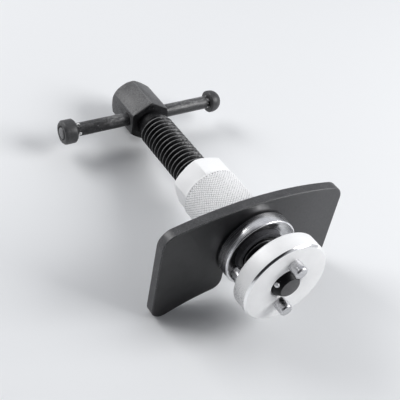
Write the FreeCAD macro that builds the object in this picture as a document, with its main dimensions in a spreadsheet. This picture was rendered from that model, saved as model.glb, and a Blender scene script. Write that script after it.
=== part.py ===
import FreeCAD, Part
import os
import Sketcher

# Brake caliper piston tool: a left-hand screw with a sliding tommy bar runs through a
# knurled nut, the nut hooks into a slotted reaction plate, and a disc with pins sits on
# the screw's nose.
# Frame: the screw's axis is Y with the handle at +Y, Z is up out of the plate's arched
# edge and X lies along the tommy bar. The origin is on the axis at the plate's rear face.

SIZES = (
    # Reaction plate
    ("plate_width", 96.0),
    ("plate_thick", 5.0),
    ("plate_top", 23.9),
    ("plate_top_radius", 197.0),
    ("plate_low", 22.7),
    ("plate_low_radius", 115.0),
    ("plate_corner_top", 8.0),
    ("plate_corner_low", 5.5),
    ("slot_mouth_radius", 5.5),
    ("slot_play", 0.35),
    ("plate_edge_round", 0.5),
    # Nut: neck, knurled sleeve and hexagon
    ("neck_radius", 12.0),
    ("neck_proud", 0.4),
    ("groove_play", 0.2),
    ("sleeve_radius", 14.6),
    ("sleeve_length", 30.0),
    ("sleeve_bevel", 0.8),
    ("nut_across_flats", 25.0),
    ("nut_hex_length", 12.2),
    ("nut_hex_turn", 20.0),
    ("nut_bevel_radius", 12.7),
    ("nut_bevel_depth", 1.1),
    ("bore_play", 0.08),
    ("bore_bevel", 1.0),
    # Thrust flange on the neck
    ("flange_radius", 18.4),
    ("flange_thick", 7.2),
    ("flange_rim", 1.9),
    ("dish_depth", 2.6),
    ("flange_round", 0.9),
    # Screw spindle
    ("thread_radius", 9.0),
    ("thread_bevel", 1.2),
    ("relief_radius", 7.2),
    ("relief_length", 3.0),
    ("thread_free", 48.6),
    ("head_across_flats", 20.2),
    ("head_length", 24.5),
    ("head_bevel", 1.0),
    ("head_crown_radius", 8.6),
    ("head_crown_depth", 2.4),
    ("bar_hole_inset", 6.5),
    # Nose that carries the disc
    ("seat_play", 0.1),
    ("nose_radius", 7.25),
    ("nose_end_radius", 4.95),
    ("nose_proud", 2.8),
    ("nose_cone", 3.3),
    ("ball_radius", 1.3),
    ("ball_proud", 0.25),
    ("ball_ahead", 0.2),
    ("ball_turn", 160.0),
    ("ball_play", 0.05),
    ("spring_radius", 1.0),
    ("spring_wire", 0.2),
    ("spring_pitch", 0.75),
    ("spring_length", 3.0),
    # Pin disc
    ("disc_gap", 10.2),
    ("disc_radius", 21.5),
    ("disc_thick", 9.5),
    ("disc_bevel", 0.9),
    ("disc_play", 0.08),
    ("countersink", 0.6),
    # Drive pins
    ("pin_radius", 3.1),
    ("pin_seat", 4.0),
    ("pin_bevel", 0.6),
    ("front_pin_circle", 11.3),
    ("front_pin_proud", 5.9),
    ("front_pin_turn", -94.4),
    ("rear_pin_circle", 16.4),
    ("rear_pin_proud", 6.4),
    ("rear_pin_turn", -177.0),
    # Tommy bar and its ends
    ("bar_radius", 3.45),
    ("bar_play", 0.1),
    ("bar_left", 39.7),
    ("bar_right", 39.0),
    ("tenon_radius", 3.0),
    ("tenon_proud", 0.3),
    ("collar_radius", 6.2),
    ("collar_length", 7.1),
    ("collar_bevel", 1.0),
    ("knob_radius", 5.9),
    ("knob_length", 7.4),
    ("knob_shoulder", 0.5),
    ("knob_tip_flat", 0.5),
    ("knob_seat", 5.0),
)

# Places along the axis, worked out from the sizes
FLANGE_REAR = "(-sizes.plate_thick - sizes.groove_play)"
FLANGE_FRONT = "(%s - sizes.flange_thick)" % FLANGE_REAR
DISC_REAR = "(%s - sizes.disc_gap)" % FLANGE_FRONT
DISC_FRONT = "(%s - sizes.disc_thick)" % DISC_REAR
NOSE_END = "(%s - sizes.nose_proud)" % DISC_FRONT
SLEEVE_FRONT = "sizes.groove_play"
HEX_FRONT = "(%s + sizes.sleeve_length)" % SLEEVE_FRONT
NUT_END = "(%s + sizes.nut_hex_length)" % HEX_FRONT
HEAD_FRONT = "(%s + sizes.thread_free)" % NUT_END
HEAD_END = "(%s + sizes.head_length)" % HEAD_FRONT
BAR_PLACE = "(%s + sizes.bar_hole_inset)" % HEAD_FRONT

doc = FreeCAD.newDocument("piston_tool")
sheet = doc.addObject("Spreadsheet::Sheet", "sizes")
for row, (name, size) in enumerate(SIZES, 1):
    sheet.set("A%d" % row, name)
    sheet.set("B%d" % row, repr(size))
    sheet.setAlias("B%d" % row, name)
doc.recompute()


def value(expression):
    # The number that an expression over the sheet's sizes stands for.
    return float(sheet.evalExpression(expression))


def new_body(name):
    body = doc.addObject("PartDesign::Body", name)
    body.Label = name
    return body


def plane_sketch(body, role, name, offset=None):
    # Sketch on one of the body's own origin planes, moved along its normal by offset.
    sketch = body.newObject("Sketcher::SketchObject", name)
    plane = [item for item in body.Origin.OriginFeatures if item.Role == role][0]
    sketch.AttachmentSupport = [(plane, "")]
    sketch.MapMode = "FlatFace"
    if offset:
        sketch.setExpression("AttachmentOffset.Base.z", offset)
    return sketch


def fix_point(sketch, edge, end, across, up):
    # Ties one end of an edge to its place; "0" puts it on the sketch's own axis.
    for kind, axis, place in (("DistanceX", -2, across), ("DistanceY", -1, up)):
        if place == "0":
            sketch.addConstraint(Sketcher.Constraint("PointOnObject", edge, end, axis))
            continue
        rule = Sketcher.Constraint(kind, -1, 1, edge, end, value(place))
        number = sketch.addConstraint(rule)
        sketch.setExpression("Constraints[%d]" % number, place)


def outline(sketch, corners):
    # Closed run of straight edges through corners given as pairs of expressions.
    first = sketch.GeometryCount
    places = [FreeCAD.Vector(value(across), value(up), 0) for across, up in corners]
    count = len(places)
    for index in range(count):
        sketch.addGeometry(Part.LineSegment(places[index], places[(index + 1) % count]))
    for index in range(count):
        following = first + (index + 1) % count
        sketch.addConstraint(Sketcher.Constraint("Coincident", first + index, 2, following, 1))
    for index, (across, up) in enumerate(corners):
        fix_point(sketch, first + index, 1, across, up)


def circle(sketch, across, up, radius):
    centre = FreeCAD.Vector(value(across), value(up), 0)
    edge = sketch.addGeometry(Part.Circle(centre, FreeCAD.Vector(0, 0, 1), value(radius)))
    fix_point(sketch, edge, 3, across, up)
    number = sketch.addConstraint(Sketcher.Constraint("Radius", edge, value(radius)))
    sketch.setExpression("Constraints[%d]" % number, radius)
    return edge


def turned(body, corners, axis="V_Axis"):
    # Solid of revolution about Y from a half section of (radius, station) corners, or
    # about the tommy bar from (place along the bar, radius) corners.
    section = plane_sketch(body, "XY_Plane", body.Name + "_section")
    if axis == "H_Axis":
        section.setExpression("AttachmentOffset.Base.y", BAR_PLACE)
    outline(section, corners)
    turning = body.newObject("PartDesign::Revolution", body.Name + "_turning")
    turning.Profile = section
    turning.ReferenceAxis = (section, [axis])
    turning.Angle = 360
    doc.recompute()


def mill_hexagon(body, across_flats, turn, start, length, blank_radius):
    # Cuts six flats on a turned blank, from the station start towards +Y.
    flats = plane_sketch(body, "XZ_Plane", body.Name + "_flats", "-(%s)" % start)
    circle(flats, "0", "0", "(%s) * 2" % blank_radius)
    corner = "(%s) / sqrt(3)" % across_flats
    corners = []
    for side in range(6):
        angle = "(%s + %d) * 1 deg" % (turn, 90 + 60 * side)
        corners.append(("%s * cos(%s)" % (corner, angle), "%s * sin(%s)" % (corner, angle)))
    outline(flats, corners)
    cut = body.newObject("PartDesign::Pocket", body.Name + "_milling")
    cut.Profile = flats
    cut.setExpression("Length", length)
    recompute_cut(cut)


def recompute_cut(cut):
    # A cut that points away from the solid takes nothing off, so it is turned round.
    before = cut.BaseFeature.Shape.Volume
    doc.recompute()
    if cut.Shape.isNull() or cut.Shape.Volume > before - 1e-3:
        cut.Reversed = not cut.Reversed
        doc.recompute()
    if cut.Shape.isNull() or cut.Shape.Volume > before - 1e-3:
        raise RuntimeError("nothing cut by " + cut.Name)


def edges_where(shape, test):
    # Names of the edges that pass a test.
    return ["Edge%d" % number for number, edge in enumerate(shape.Edges, 1) if test(edge)]


def along_y(edge):
    run = edge.Vertexes[-1].Point - edge.Vertexes[0].Point
    return len(edge.Vertexes) == 2 and abs(run.x) < 1e-6 and abs(run.z) < 1e-6


def rounded(body, name, radius, test):
    # Rounds the edges of the body's solid that pass a test.
    tip = body.Tip
    fillet = body.newObject("PartDesign::Fillet", name)
    fillet.Base = (tip, edges_where(tip.Shape, test))
    fillet.setExpression("Radius", radius)
    doc.recompute()
    return fillet


# Reaction plate: flat bar with an arched top, a hollow lower edge and a slot open below
plate = new_body("reaction_plate")
blank = plane_sketch(plate, "XZ_Plane", "plate_blank")
HALF = "sizes.plate_width / 2"
TOP_DROP = "(sizes.plate_top_radius - sqrt(sizes.plate_top_radius ^ 2 - (%s) ^ 2))" % HALF
LOW_DROP = "(sizes.plate_low_radius - sqrt(sizes.plate_low_radius ^ 2 - (%s) ^ 2))" % HALF
SIDE_TOP = "sizes.plate_top - %s" % TOP_DROP
SIDE_LOW = "-sizes.plate_low - %s" % LOW_DROP


def at(across, up):
    return FreeCAD.Vector(value(across), value(up), 0)


top_left = at("-" + HALF, SIDE_TOP)
top_right = at(HALF, SIDE_TOP)
low_left = at("-" + HALF, SIDE_LOW)
low_right = at(HALF, SIDE_LOW)
blank.addGeometry(Part.Arc(top_left, at("0", "sizes.plate_top"), top_right))
blank.addGeometry(Part.LineSegment(top_right, low_right))
blank.addGeometry(Part.Arc(low_right, at("0", "-sizes.plate_low"), low_left))
blank.addGeometry(Part.LineSegment(low_left, top_left))
for edge, end, following, start in ((1, 2, 2, 1), (3, 2, 0, 2), (1, 1, 0, 1), (3, 1, 2, 2)):
    blank.addConstraint(Sketcher.Constraint("Coincident", edge, end, following, start))
fix_point(blank, 1, 1, HALF, SIDE_TOP)
fix_point(blank, 1, 2, HALF, SIDE_LOW)
fix_point(blank, 3, 1, "-" + HALF, SIDE_LOW)
fix_point(blank, 3, 2, "-" + HALF, SIDE_TOP)
for edge, radius in ((0, "sizes.plate_top_radius"), (2, "sizes.plate_low_radius")):
    number = blank.addConstraint(Sketcher.Constraint("Radius", edge, value(radius)))
    blank.setExpression("Constraints[%d]" % number, radius)
plate_pad = plate.newObject("PartDesign::Pad", "plate_pad")
plate_pad.Profile = blank
plate_pad.setExpression("Length", "sizes.plate_thick")
doc.recompute()

slot = plane_sketch(plate, "XZ_Plane", "plate_slot")
SLOT_RADIUS = "(sizes.neck_radius + sizes.slot_play)"
SLOT_DEPTH = "(%s)" % SIDE_LOW
slot_right = at(SLOT_RADIUS, "0")
slot_left = at("-" + SLOT_RADIUS, "0")
slot_low_left = at("-" + SLOT_RADIUS, SLOT_DEPTH)
slot_low_right = at(SLOT_RADIUS, SLOT_DEPTH)
slot.addGeometry(Part.Arc(slot_right, at("0", SLOT_RADIUS), slot_left))
slot.addGeometry(Part.LineSegment(slot_left, slot_low_left))
slot.addGeometry(Part.LineSegment(slot_low_left, slot_low_right))
slot.addGeometry(Part.LineSegment(slot_low_right, slot_right))
for edge, end, following, start in ((0, 2, 1, 1), (1, 2, 2, 1), (2, 2, 3, 1), (3, 2, 0, 1)):
    slot.addConstraint(Sketcher.Constraint("Coincident", edge, end, following, start))
fix_point(slot, 0, 3, "0", "0")
fix_point(slot, 0, 1, SLOT_RADIUS, "0")
slot.addConstraint(Sketcher.Constraint("PointOnObject", 0, 2, -1))
fix_point(slot, 2, 1, "-" + SLOT_RADIUS, SLOT_DEPTH)
fix_point(slot, 2, 2, SLOT_RADIUS, SLOT_DEPTH)
slot_cut = plate.newObject("PartDesign::Pocket", "plate_slot_cut")
slot_cut.Profile = slot
slot_cut.SideType = "Symmetric"
slot_cut.setExpression("Length", "sizes.plate_thick * 3")
recompute_cut(slot_cut)
slot_half = value(SLOT_RADIUS)
side_half = value(HALF)
rounded(plate, "plate_top_corners", "sizes.plate_corner_top",
        lambda edge: along_y(edge) and abs(edge.CenterOfMass.x) > side_half - 1e-3
        and edge.CenterOfMass.z > 0)
rounded(plate, "plate_low_corners", "sizes.plate_corner_low",
        lambda edge: along_y(edge) and abs(edge.CenterOfMass.x) > side_half - 1e-3
        and edge.CenterOfMass.z < 0)
rounded(plate, "slot_mouth", "sizes.slot_mouth_radius",
        lambda edge: along_y(edge) and abs(abs(edge.CenterOfMass.x) - slot_half) < 1e-3
        and edge.CenterOfMass.z < -1)
rounded(plate, "plate_edges", "sizes.plate_edge_round", lambda edge: not along_y(edge))

# Nut: neck through the slot, knurled sleeve behind the plate and a hexagon for a spanner
sleeve = new_body("nut_sleeve")
BORE = "(sizes.thread_radius + sizes.bore_play)"
NECK_FRONT = "(%s - sizes.neck_proud)" % FLANGE_FRONT
turned(sleeve, (
    (BORE, "%s + sizes.bore_bevel" % NECK_FRONT),
    ("%s + sizes.bore_bevel" % BORE, NECK_FRONT),
    ("sizes.neck_radius", NECK_FRONT),
    ("sizes.neck_radius", SLEEVE_FRONT),
    ("sizes.sleeve_radius - sizes.sleeve_bevel", SLEEVE_FRONT),
    ("sizes.sleeve_radius", "%s + sizes.sleeve_bevel" % SLEEVE_FRONT),
    ("sizes.sleeve_radius", "%s - sizes.nut_bevel_depth" % NUT_END),
    ("sizes.nut_bevel_radius", NUT_END),
    ("%s + sizes.bore_bevel" % BORE, NUT_END),
    (BORE, "%s - sizes.bore_bevel" % NUT_END),
))
mill_hexagon(sleeve, "sizes.nut_across_flats", "sizes.nut_hex_turn", HEX_FRONT,
             "sizes.nut_hex_length", "sizes.sleeve_radius")

# Thrust flange: polished ring on the neck, dished between its rim and the neck
flange = new_body("thrust_flange")
DISH_FLOOR = "(%s + sizes.dish_depth)" % FLANGE_FRONT
RIM_INNER = "(sizes.flange_radius - sizes.flange_rim)"
turned(flange, (
    ("sizes.neck_radius", FLANGE_REAR),
    ("sizes.flange_radius", FLANGE_REAR),
    ("sizes.flange_radius", FLANGE_FRONT),
    (RIM_INNER, FLANGE_FRONT),
    ("sizes.neck_radius", DISH_FLOOR),
))
flange_edge = value("sizes.flange_radius")
rounded(flange, "flange_rounds", "sizes.flange_round",
        lambda edge: edge.Curve.TypeId == "Part::GeomCircle"
        and abs(edge.Curve.Radius - flange_edge) < 1e-6)

# Spindle: hexagon head, relief, shank of the thread's outer diameter and the nose for
# the disc, in one piece
spindle = new_body("spindle")
SEAT = "(%s + sizes.seat_play)" % DISC_REAR
HEAD_BLANK = "(sizes.head_across_flats / sqrt(3))"
turned(spindle, (
    ("0", NOSE_END),
    ("sizes.nose_end_radius", NOSE_END),
    ("sizes.nose_radius", "%s + sizes.nose_cone" % NOSE_END),
    ("sizes.nose_radius", SEAT),
    ("sizes.thread_radius - sizes.thread_bevel", SEAT),
    ("sizes.thread_radius", "%s + sizes.thread_bevel" % SEAT),
    ("sizes.thread_radius", "%s - sizes.relief_length - sizes.thread_bevel" % HEAD_FRONT),
    ("sizes.relief_radius",
     "%s - sizes.relief_length - sizes.thread_bevel + sizes.thread_radius"
     " - sizes.relief_radius" % HEAD_FRONT),
    ("sizes.relief_radius", HEAD_FRONT),
    ("%s - sizes.head_bevel" % HEAD_BLANK, HEAD_FRONT),
    (HEAD_BLANK, "%s + sizes.head_bevel" % HEAD_FRONT),
    (HEAD_BLANK, "%s - sizes.head_crown_depth" % HEAD_END),
    ("sizes.head_crown_radius", HEAD_END),
    ("0", HEAD_END),
))
mill_hexagon(spindle, "sizes.head_across_flats", "0", HEAD_FRONT, "sizes.head_length",
             HEAD_BLANK)
bar_hole = plane_sketch(spindle, "YZ_Plane", "bar_hole")
circle(bar_hole, BAR_PLACE, "0", "sizes.bar_radius + sizes.bar_play")
bar_drilling = spindle.newObject("PartDesign::Pocket", "bar_drilling")
bar_drilling.Profile = bar_hole
bar_drilling.SideType = "Symmetric"
bar_drilling.setExpression("Length", "sizes.head_across_flats * 2")
recompute_cut(bar_drilling)

# Radial hole in the nose for the spring and ball that hold the disc on
BALL_PLACE = "(%s - sizes.ball_ahead)" % DISC_FRONT
BALL_OUT = "(sizes.nose_radius + sizes.ball_proud - sizes.ball_radius)"
BALL_TURN = "(sizes.ball_turn * 1 deg)"
SPRING_TOP = ("(%s - sqrt((sizes.ball_radius + sizes.spring_wire + sizes.ball_play) ^ 2"
              " - sizes.spring_radius ^ 2))" % BALL_OUT)
SPRING_FOOT = "(%s - sizes.spring_length)" % SPRING_TOP
ball_hole = plane_sketch(spindle, "YZ_Plane", "ball_hole")
ball_hole.AttachmentOffset = FreeCAD.Placement(
    FreeCAD.Vector(), FreeCAD.Rotation(FreeCAD.Vector(1, 0, 0), -value("sizes.ball_turn")))
ball_hole.setExpression("AttachmentOffset.Rotation.Angle", "-" + BALL_TURN)
ball_hole.setExpression("AttachmentOffset.Base.y", "sizes.nose_radius * sin(%s)" % BALL_TURN)
ball_hole.setExpression("AttachmentOffset.Base.z", "sizes.nose_radius * cos(%s)" % BALL_TURN)
circle(ball_hole, BALL_PLACE, "0", "sizes.ball_radius + sizes.ball_play")
ball_drilling = spindle.newObject("PartDesign::Pocket", "ball_drilling")
ball_drilling.Profile = ball_hole
ball_drilling.setExpression(
    "Length", "sizes.nose_radius - %s + sizes.spring_wire + sizes.ball_play" % SPRING_FOOT)
recompute_cut(ball_drilling)

# Detent ball, standing a little out of the nose
ball = doc.addObject("Part::Sphere", "detent_ball")
ball.Label = "detent_ball"
ball.setExpression("Radius", "sizes.ball_radius")
ball.setExpression("Placement.Base.x", "%s * cos(%s)" % (BALL_OUT, BALL_TURN))
ball.setExpression("Placement.Base.y", BALL_PLACE)
ball.setExpression("Placement.Base.z", "%s * sin(%s)" % (BALL_OUT, BALL_TURN))

# Detent spring, coiled in the hole under the ball
spring = new_body("detent_spring")
wire = plane_sketch(spring, "XZ_Plane", "spring_wire_section")
circle(wire, "sizes.spring_radius", "0", "sizes.spring_wire")
coil = spring.newObject("PartDesign::AdditiveHelix", "spring_coil")
coil.Profile = wire
coil.ReferenceAxis = (wire, ["V_Axis"])
coil.Mode = "pitch-height-angle"
coil.setExpression("Pitch", "sizes.spring_pitch")
coil.setExpression("Height", "sizes.spring_length")
spring.Placement = FreeCAD.Placement(
    FreeCAD.Vector(), FreeCAD.Rotation(FreeCAD.Vector(0, 1, 0), 90 - value("sizes.ball_turn")))
spring.setExpression("Placement.Rotation.Angle", "90 deg - " + BALL_TURN)
spring.setExpression("Placement.Base.x", "%s * cos(%s)" % (SPRING_FOOT, BALL_TURN))
spring.setExpression("Placement.Base.y", BALL_PLACE)
spring.setExpression("Placement.Base.z", "%s * sin(%s)" % (SPRING_FOOT, BALL_TURN))
doc.recompute()

# Pin disc: bored to turn on the nose, with blind holes for the pins on both faces
disc = new_body("pin_disc")
DISC_BORE = "(sizes.nose_radius + sizes.disc_play)"
turned(disc, (
    (DISC_BORE, "%s + sizes.countersink" % DISC_FRONT),
    ("%s + sizes.countersink" % DISC_BORE, DISC_FRONT),
    ("sizes.disc_radius - sizes.disc_bevel", DISC_FRONT),
    ("sizes.disc_radius", "%s + sizes.disc_bevel" % DISC_FRONT),
    ("sizes.disc_radius", "%s - sizes.disc_bevel" % DISC_REAR),
    ("sizes.disc_radius - sizes.disc_bevel", DISC_REAR),
    ("%s + sizes.countersink" % DISC_BORE, DISC_REAR),
    (DISC_BORE, "%s - sizes.countersink" % DISC_REAR),
))


def pin_places(side):
    # Centres of the two pins on one face of the disc, opposite each other.
    places = []
    for half_turn in (0, 180):
        angle = "((sizes.%s_pin_turn + %d) * 1 deg)" % (side, half_turn)
        reach = "sizes.%s_pin_circle" % side
        places.append(("%s * cos(%s)" % (reach, angle), "%s * sin(%s)" % (reach, angle)))
    return places


for side, face in (("front", DISC_FRONT), ("rear", DISC_REAR)):
    holes = plane_sketch(disc, "XZ_Plane", side + "_pin_holes", "-" + face)
    for across, up in pin_places(side):
        circle(holes, across, up, "sizes.pin_radius")
    drilling = disc.newObject("PartDesign::Pocket", side + "_pin_drilling")
    drilling.Profile = holes
    drilling.setExpression("Length", "sizes.pin_seat")
    recompute_cut(drilling)

# Drive pins: hard dowels pressed into the disc and bevelled at the end that stands out
PIN_LENGTH = "(sizes.pin_seat + sizes.%s_pin_proud)"
PIN_RUNS = {
    "front": ("%s + sizes.pin_seat" % DISC_FRONT, "%s - sizes.front_pin_proud" % DISC_FRONT),
    "rear": ("%s + sizes.rear_pin_proud" % DISC_REAR, "%s + sizes.rear_pin_proud" % DISC_REAR),
}
for side, (high, tip_place) in PIN_RUNS.items():
    for number, (across, up) in enumerate(pin_places(side), 1):
        pin = new_body("%s_pin_%d" % (side, number))
        foot = plane_sketch(pin, "XZ_Plane", pin.Name + "_foot", "-(%s)" % high)
        circle(foot, across, up, "sizes.pin_radius")
        shank = pin.newObject("PartDesign::Pad", pin.Name + "_shank")
        shank.Profile = foot
        shank.setExpression("Length", PIN_LENGTH % side)
        doc.recompute()
        tip = value(tip_place)
        bevel = pin.newObject("PartDesign::Chamfer", pin.Name + "_bevel")
        bevel.Base = (shank, edges_where(
            shank.Shape, lambda edge: abs(edge.BoundBox.YMin - tip) < 1e-3
            and abs(edge.BoundBox.YMax - tip) < 1e-3))
        bevel.setExpression("Size", "sizes.pin_bevel")
        doc.recompute()

# Tommy bar: plain rod with a tenon at each end
bar = new_body("tommy_bar")
COLLAR_END = "(-sizes.bar_left - sizes.collar_length)"
turned(bar, (
    ("%s - sizes.tenon_proud" % COLLAR_END, "0"),
    ("sizes.bar_right + sizes.knob_seat", "0"),
    ("sizes.bar_right + sizes.knob_seat", "sizes.tenon_radius"),
    ("sizes.bar_right", "sizes.tenon_radius"),
    ("sizes.bar_right", "sizes.bar_radius"),
    ("-sizes.bar_left", "sizes.bar_radius"),
    ("-sizes.bar_left", "sizes.tenon_radius"),
    ("%s - sizes.tenon_proud" % COLLAR_END, "sizes.tenon_radius"),
), "H_Axis")

# End collar: bored ring riveted on the left tenon
collar = new_body("end_collar")
turned(collar, (
    (COLLAR_END, "sizes.tenon_radius"),
    ("-sizes.bar_left", "sizes.tenon_radius"),
    ("-sizes.bar_left", "sizes.collar_radius - sizes.collar_bevel"),
    ("-sizes.bar_left - sizes.collar_bevel", "sizes.collar_radius"),
    ("%s + sizes.collar_bevel" % COLLAR_END, "sizes.collar_radius"),
    (COLLAR_END, "sizes.collar_radius - sizes.collar_bevel"),
), "H_Axis")

# End knob: domed cap pressed on the right tenon, with a short shoulder towards the head
knob = new_body("end_knob")
KNOB_END = "(sizes.bar_right + sizes.knob_length)"
turned(knob, (
    ("sizes.bar_right + sizes.knob_seat", "0"),
    (KNOB_END, "0"),
    (KNOB_END, "sizes.knob_radius"),
    ("sizes.bar_right + sizes.knob_shoulder", "sizes.knob_radius"),
    ("sizes.bar_right", "sizes.knob_radius - sizes.knob_shoulder"),
    ("sizes.bar_right", "sizes.tenon_radius"),
    ("sizes.bar_right + sizes.knob_seat", "sizes.tenon_radius"),
), "H_Axis")
knob_end = value(KNOB_END)
rounded(knob, "knob_dome", "sizes.knob_radius - sizes.knob_tip_flat",
        lambda edge: edge.BoundBox.XMin > knob_end - 1e-3 and edge.BoundBox.XMax < knob_end + 1e-3)

# Check every object and write the pieces
doc.recompute()
PIECES = (plate, sleeve, flange, spindle, ball, spring, disc, bar, collar, knob) + tuple(
    doc.getObject("%s_pin_%d" % (side, number)) for side in PIN_RUNS for number in (1, 2))
for item in doc.Objects:
    if "Invalid" in item.State or "Error" in item.State:
        raise RuntimeError("not built: " + item.Name)
os.makedirs("parts", exist_ok=True)
for piece in PIECES:
    if piece.Shape.isNull() or not piece.Shape.isValid() or len(piece.Shape.Solids) != 1:
        raise RuntimeError("bad solid: " + piece.Label)
    piece.Shape.exportStep("parts/%s.step" % piece.Label)
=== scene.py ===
import math
import bpy
from mathutils import Matrix, Vector


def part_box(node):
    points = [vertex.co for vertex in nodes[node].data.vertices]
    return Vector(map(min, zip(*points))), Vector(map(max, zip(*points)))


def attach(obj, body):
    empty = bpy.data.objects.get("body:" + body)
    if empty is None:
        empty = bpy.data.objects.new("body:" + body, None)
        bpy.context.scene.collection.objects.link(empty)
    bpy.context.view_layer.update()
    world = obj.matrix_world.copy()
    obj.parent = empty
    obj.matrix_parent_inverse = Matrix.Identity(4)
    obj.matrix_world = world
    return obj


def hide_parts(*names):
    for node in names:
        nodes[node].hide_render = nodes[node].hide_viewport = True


# A screw tool that winds a brake caliper's piston back, in metres, with the screw's axis
# along Y and its handle at +Y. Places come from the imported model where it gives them.
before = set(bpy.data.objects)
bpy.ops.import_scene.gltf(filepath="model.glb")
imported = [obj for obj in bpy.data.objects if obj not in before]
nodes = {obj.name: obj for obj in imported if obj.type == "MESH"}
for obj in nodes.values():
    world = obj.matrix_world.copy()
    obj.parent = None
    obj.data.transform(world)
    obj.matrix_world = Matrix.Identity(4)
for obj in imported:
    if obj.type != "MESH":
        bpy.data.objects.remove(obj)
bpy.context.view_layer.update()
MM = 0.001

# Reaction plate: cut from 5 mm steel plate with its edges broken, then coated satin
# black. Its slot hooks over the nut's neck and its rear face bears on the caliper.


def effect_group(name, inputs, outputs):
    # An empty node group with named inputs, each with its usual value, and named outputs.
    tree = bpy.data.node_groups.new(name, "ShaderNodeTree")
    for label, kind, usual in inputs:
        socket = tree.interface.new_socket(label, in_out="INPUT", socket_type=kind)
        socket.default_value = usual
    for label, kind in outputs:
        tree.interface.new_socket(label, in_out="OUTPUT", socket_type=kind)
    return tree, tree.nodes.new("NodeGroupInput"), tree.nodes.new("NodeGroupOutput")


def feed(tree, source, socket):
    # Links an output to a socket, or sets the socket to a plain value.
    if isinstance(source, bpy.types.NodeSocket):
        tree.links.new(source, socket)
    else:
        socket.default_value = source


def noise(tree, place, scale, detail=3.0):
    # Soft random patches; scale is about how many of them there are in a metre.
    texture = tree.nodes.new("ShaderNodeTexNoise")
    texture.inputs["Scale"].default_value = scale
    texture.inputs["Detail"].default_value = detail
    tree.links.new(place, texture.inputs["Vector"])
    return texture.outputs["Fac"]


def spread(tree, source, low, high, to_low, to_high):
    # Stretches a value from one range to another and stops it at the ends.
    stretch = tree.nodes.new("ShaderNodeMapRange")
    stretch.inputs["From Min"].default_value = low
    stretch.inputs["From Max"].default_value = high
    stretch.inputs["To Min"].default_value = to_low
    stretch.inputs["To Max"].default_value = to_high
    tree.links.new(source, stretch.inputs["Value"])
    return stretch.outputs["Result"]


def blend_colours(tree, share, first, second):
    # The first colour where share is 0, the second where it is 1.
    mix = tree.nodes.new("ShaderNodeMix")
    mix.data_type = "RGBA"
    feed(tree, share, mix.inputs["Factor"])
    feed(tree, first, mix.inputs["A"])
    feed(tree, second, mix.inputs["B"])
    return mix.outputs["Result"]


def combine(tree, operation, first, second):
    # One step of arithmetic on two values.
    step = tree.nodes.new("ShaderNodeMath")
    step.operation = operation
    feed(tree, first, step.inputs[0])
    feed(tree, second, step.inputs[1])
    return step.outputs["Value"]


def both(tree, first, second):
    # A mask that is there only where two others are.
    return combine(tree, "MULTIPLY", first, second)


def vector_step(tree, operation, *vectors):
    # One step of arithmetic on one or two vectors. It hands back the step's outputs.
    step = tree.nodes.new("ShaderNodeVectorMath")
    step.operation = operation
    for vector, socket in zip(vectors, step.inputs):
        feed(tree, vector, socket)
    return step.outputs


def stations_of(tree, place):
    # A place's X, Y and Z, each on its own.
    apart = tree.nodes.new("ShaderNodeSeparateXYZ")
    tree.links.new(place, apart.inputs["Vector"])
    return apart.outputs


def reach_of(tree, place):
    # How far a place lies from the screw's axis.
    flattened = vector_step(tree, "MULTIPLY", place, (1, 0, 1))["Vector"]
    return vector_step(tree, "LENGTH", flattened)["Value"]


# Mottled dark surface with fine grain and a few bare specks, rubbed bright where it is worn,
# and painted lighter where a mask feeds in a painted sheen
BARE_STEEL = (0.3, 0.3, 0.31, 1)
dark_steel, given, made = effect_group(
    "dark_steel",
    [("Place", "NodeSocketVector", (0, 0, 0)),
     ("Dark", "NodeSocketColor", (0.02, 0.02, 0.022, 1)),
     ("Light", "NodeSocketColor", (0.05, 0.05, 0.053, 1)),
     ("Rubbed_and_lit", "NodeSocketColor", (0.2, 0.2, 0.2, 1)),
     ("Specks", "NodeSocketFloat", 0.7),
     ("Wear_and_sheen", "NodeSocketFloat", 0.0),
     ("Shine", "NodeSocketFloat", 0.4)],
    [("Color", "NodeSocketColor"), ("Roughness", "NodeSocketFloat"),
     ("Height", "NodeSocketFloat")])
clouds = noise(dark_steel, given.outputs["Place"], 230)
grain = noise(dark_steel, given.outputs["Place"], 1300, 4.0)
share = both(dark_steel, spread(dark_steel, clouds, 0.3, 0.7, 0.25, 1),
             spread(dark_steel, grain, 0.35, 0.65, 0.2, 1.2))
colour = blend_colours(dark_steel, share, given.outputs["Dark"], given.outputs["Light"])
flecks = noise(dark_steel, given.outputs["Place"], 1400, 2.0)
bare = both(dark_steel, spread(dark_steel, flecks, 0.7, 0.75, 0, 1), given.outputs["Specks"])
colour = blend_colours(dark_steel, bare, colour, BARE_STEEL)
patches = noise(dark_steel, given.outputs["Place"], 900, 4.0)
worn_and_lit = both(dark_steel, spread(dark_steel, patches, 0.3, 0.6, 0.35, 1), given.outputs["Wear_and_sheen"])
colour = blend_colours(dark_steel, worn_and_lit, colour, given.outputs["Rubbed_and_lit"])
dull = both(dark_steel, spread(dark_steel, clouds, 0.25, 0.75, 0.85, 1.2),
            given.outputs["Shine"])
dark_steel.links.new(colour, made.inputs["Color"])
dark_steel.links.new(dull, made.inputs["Roughness"])
dark_steel.links.new(grain, made.inputs["Height"])


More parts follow.
